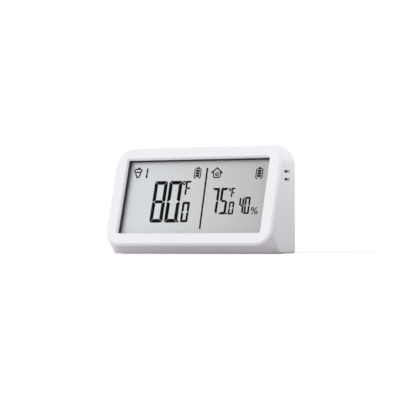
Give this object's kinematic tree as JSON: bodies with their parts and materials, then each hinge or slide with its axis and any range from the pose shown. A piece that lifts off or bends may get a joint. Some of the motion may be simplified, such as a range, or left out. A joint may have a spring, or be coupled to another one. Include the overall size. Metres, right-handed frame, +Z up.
{
  "type": "desk temperature and humidity display",
  "caption": "Wedge-shaped white desk display with a sloping LCD window, side vent slots, push buttons on the back and a tilt-out battery door.",
  "frame": {"origin": "on the table under the middle of the housing's box", "axes": "+X to the right of someone reading the display, +Y to the back, +Z up"},
  "size_m": [0.12, 0.038, 0.07],
  "materials": {
    "housing_white": "fine satin moulding",
    "lens_clear": "clear acrylic",
    "gasket_foam": "closed-cell foam",
    "lcd_film": "satin polarizer film",
    "lcd_glass": "clear",
    "reflector_film": "pearl reflector",
    "holder_plastic": "moulded",
    "zebra_rubber": "soft silicone",
    "board_green": "solder mask",
    "screw_steel": "zinc plated",
    "epoxy_black": "cured epoxy",
    "can_steel": "tinned",
    "capacitor_sleeve": "shrink sleeve",
    "antenna_wire": "bare wire",
    "ribbon_grey": "flat cable",
    "switch_black": "moulded",
    "button_grey": "satin moulding",
    "cell_jacket": "printed jacket",
    "contact_steel": "nickel plated",
    "lead_red": "insulation",
    "lead_black": "insulation",
    "foot_rubber": "soft matte"
  },
  "bodies": {
    "housing": {"front_housing": "housing_white", "display_lens": "lens_clear", "lens_gasket": "gasket_foam", "front_polarizer": "lcd_film", "front_glass": "lcd_glass", "rear_glass": "lcd_glass", "rear_reflector": "reflector_film", "lcd_holder": "holder_plastic", "zebra_strip": "zebra_rubber", "main_board": "board_green", "board_screws": "screw_steel", "controller_blob": "epoxy_black", "crystal": "can_steel", "capacitors": "capacitor_sleeve", "sensor_chip": "epoxy_black", "rf_board": "board_green", "rf_shield": "can_steel", "rf_antenna": "antenna_wire", "back_cover": "housing_white", "cover_screws": "screw_steel", "key_board": "board_green", "key_screws": "screw_steel", "key_ribbon": "ribbon_grey", "tact_switches": "switch_black", "upper_cell": "cell_jacket", "lower_cell": "cell_jacket", "positive_plate": "contact_steel", "negative_spring": "contact_steel", "link_contact": "contact_steel", "positive_lead": "lead_red", "negative_lead": "lead_black", "rubber_feet": "foot_rubber"},
    "door": {"battery_door": "housing_white"},
    "channel_key": {"channel_button": "button_grey", "channel_plunger": "switch_black"},
    "memory_key": {"memory_button": "button_grey", "memory_plunger": "switch_black"},
    "unit_key": {"unit_button": "button_grey", "unit_plunger": "switch_black"}
  },
  "joints": [
    {"name": "door_tilt", "type": "hinge", "parent": "housing", "child": "door", "pos_m": [0, 0.019, 0.0081], "axis": [-1, 0, 0], "range_deg": [0, 85]},
    {"name": "channel_press", "type": "slide", "parent": "housing", "child": "channel_key", "axis": [0, -1, 0], "range_m": [0, 0.0005], "stiffness_N_per_m": 3000},
    {"name": "memory_press", "type": "slide", "parent": "housing", "child": "memory_key", "axis": [0, -1, 0], "range_m": [0, 0.0005], "stiffness_N_per_m": 3000},
    {"name": "unit_press", "type": "slide", "parent": "housing", "child": "unit_key", "axis": [0, -1, 0], "range_m": [0, 0.0005], "stiffness_N_per_m": 3000}
  ]
}
